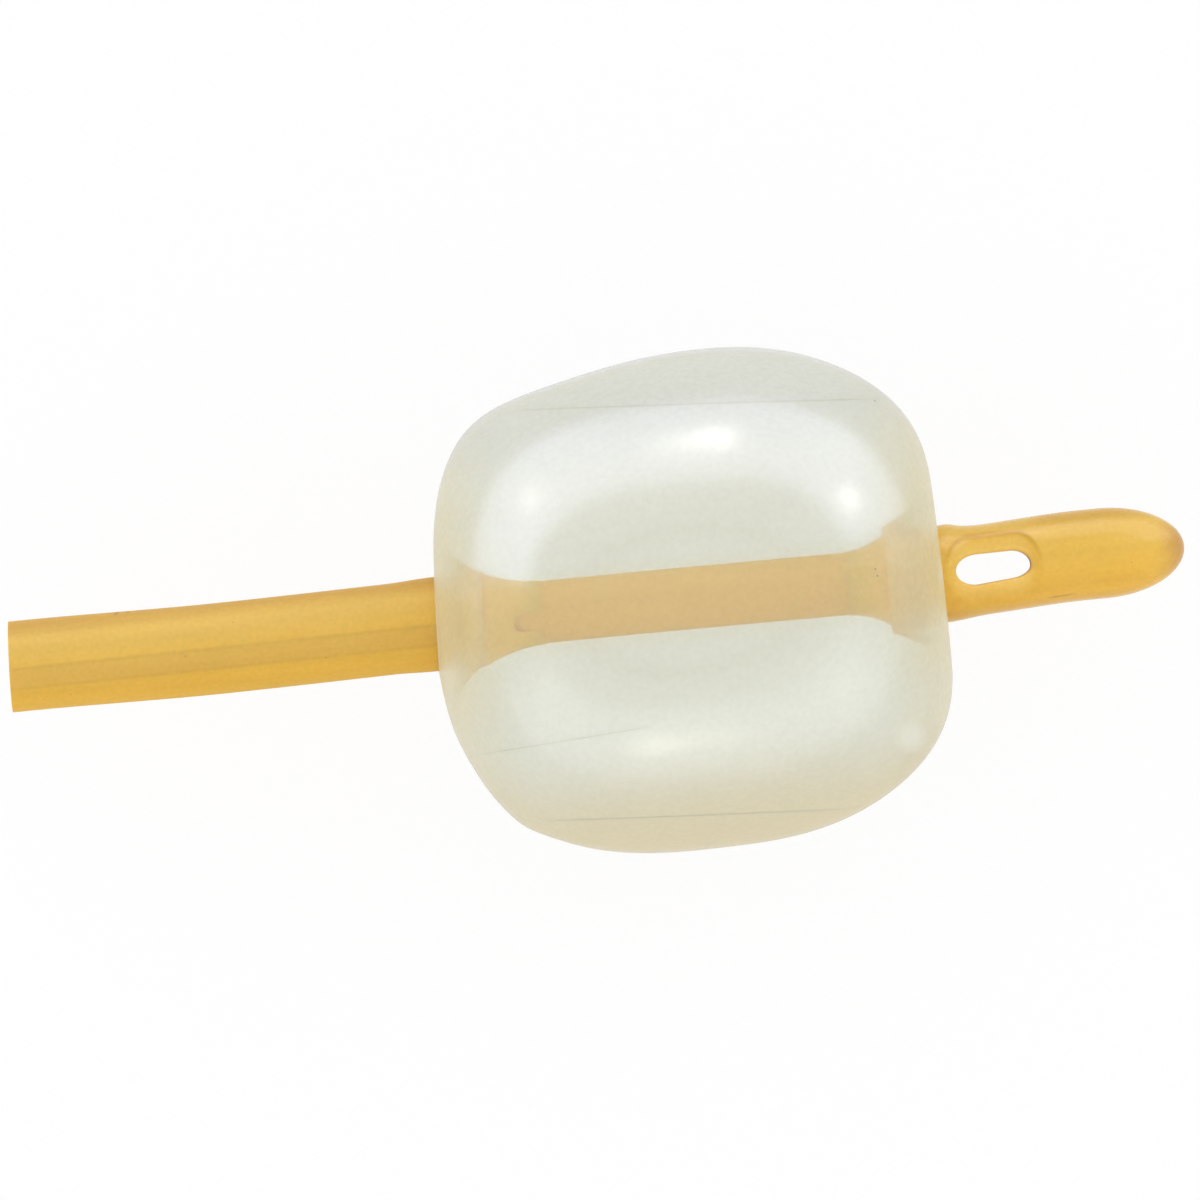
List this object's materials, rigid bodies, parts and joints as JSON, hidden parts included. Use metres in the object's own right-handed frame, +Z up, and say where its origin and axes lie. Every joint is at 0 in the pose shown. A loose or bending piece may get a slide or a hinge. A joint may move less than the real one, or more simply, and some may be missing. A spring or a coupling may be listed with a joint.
{
  "type": "foley urinary catheter, balloon end",
  "caption": "Balloon end of a Foley urinary catheter: amber latex shaft with a cut end, milky inflated retention balloon, and a round-nosed tip with opposed drainage eyes.",
  "frame": {"origin": "on the flat that the table presses into the underside of the balloon, below the balloon's widest section", "axes": "+X along the catheter from the cut end of the shaft to the tip, +Z up from the table, with one drainage eye facing up and one down"},
  "size_m": [0.0866, 0.0365, 0.0358],
  "materials": {
    "amber_latex": "satin",
    "amber_overcoat": "satin",
    "milky_membrane": "soft gloss",
    "moulded_latex": "soft gloss"
  },
  "bodies": {
    "root": {"drainage_tube": "amber_latex", "shaft_sleeve": "amber_overcoat", "balloon": "milky_membrane", "tip": "moulded_latex"}
  },
  "joints": []
}
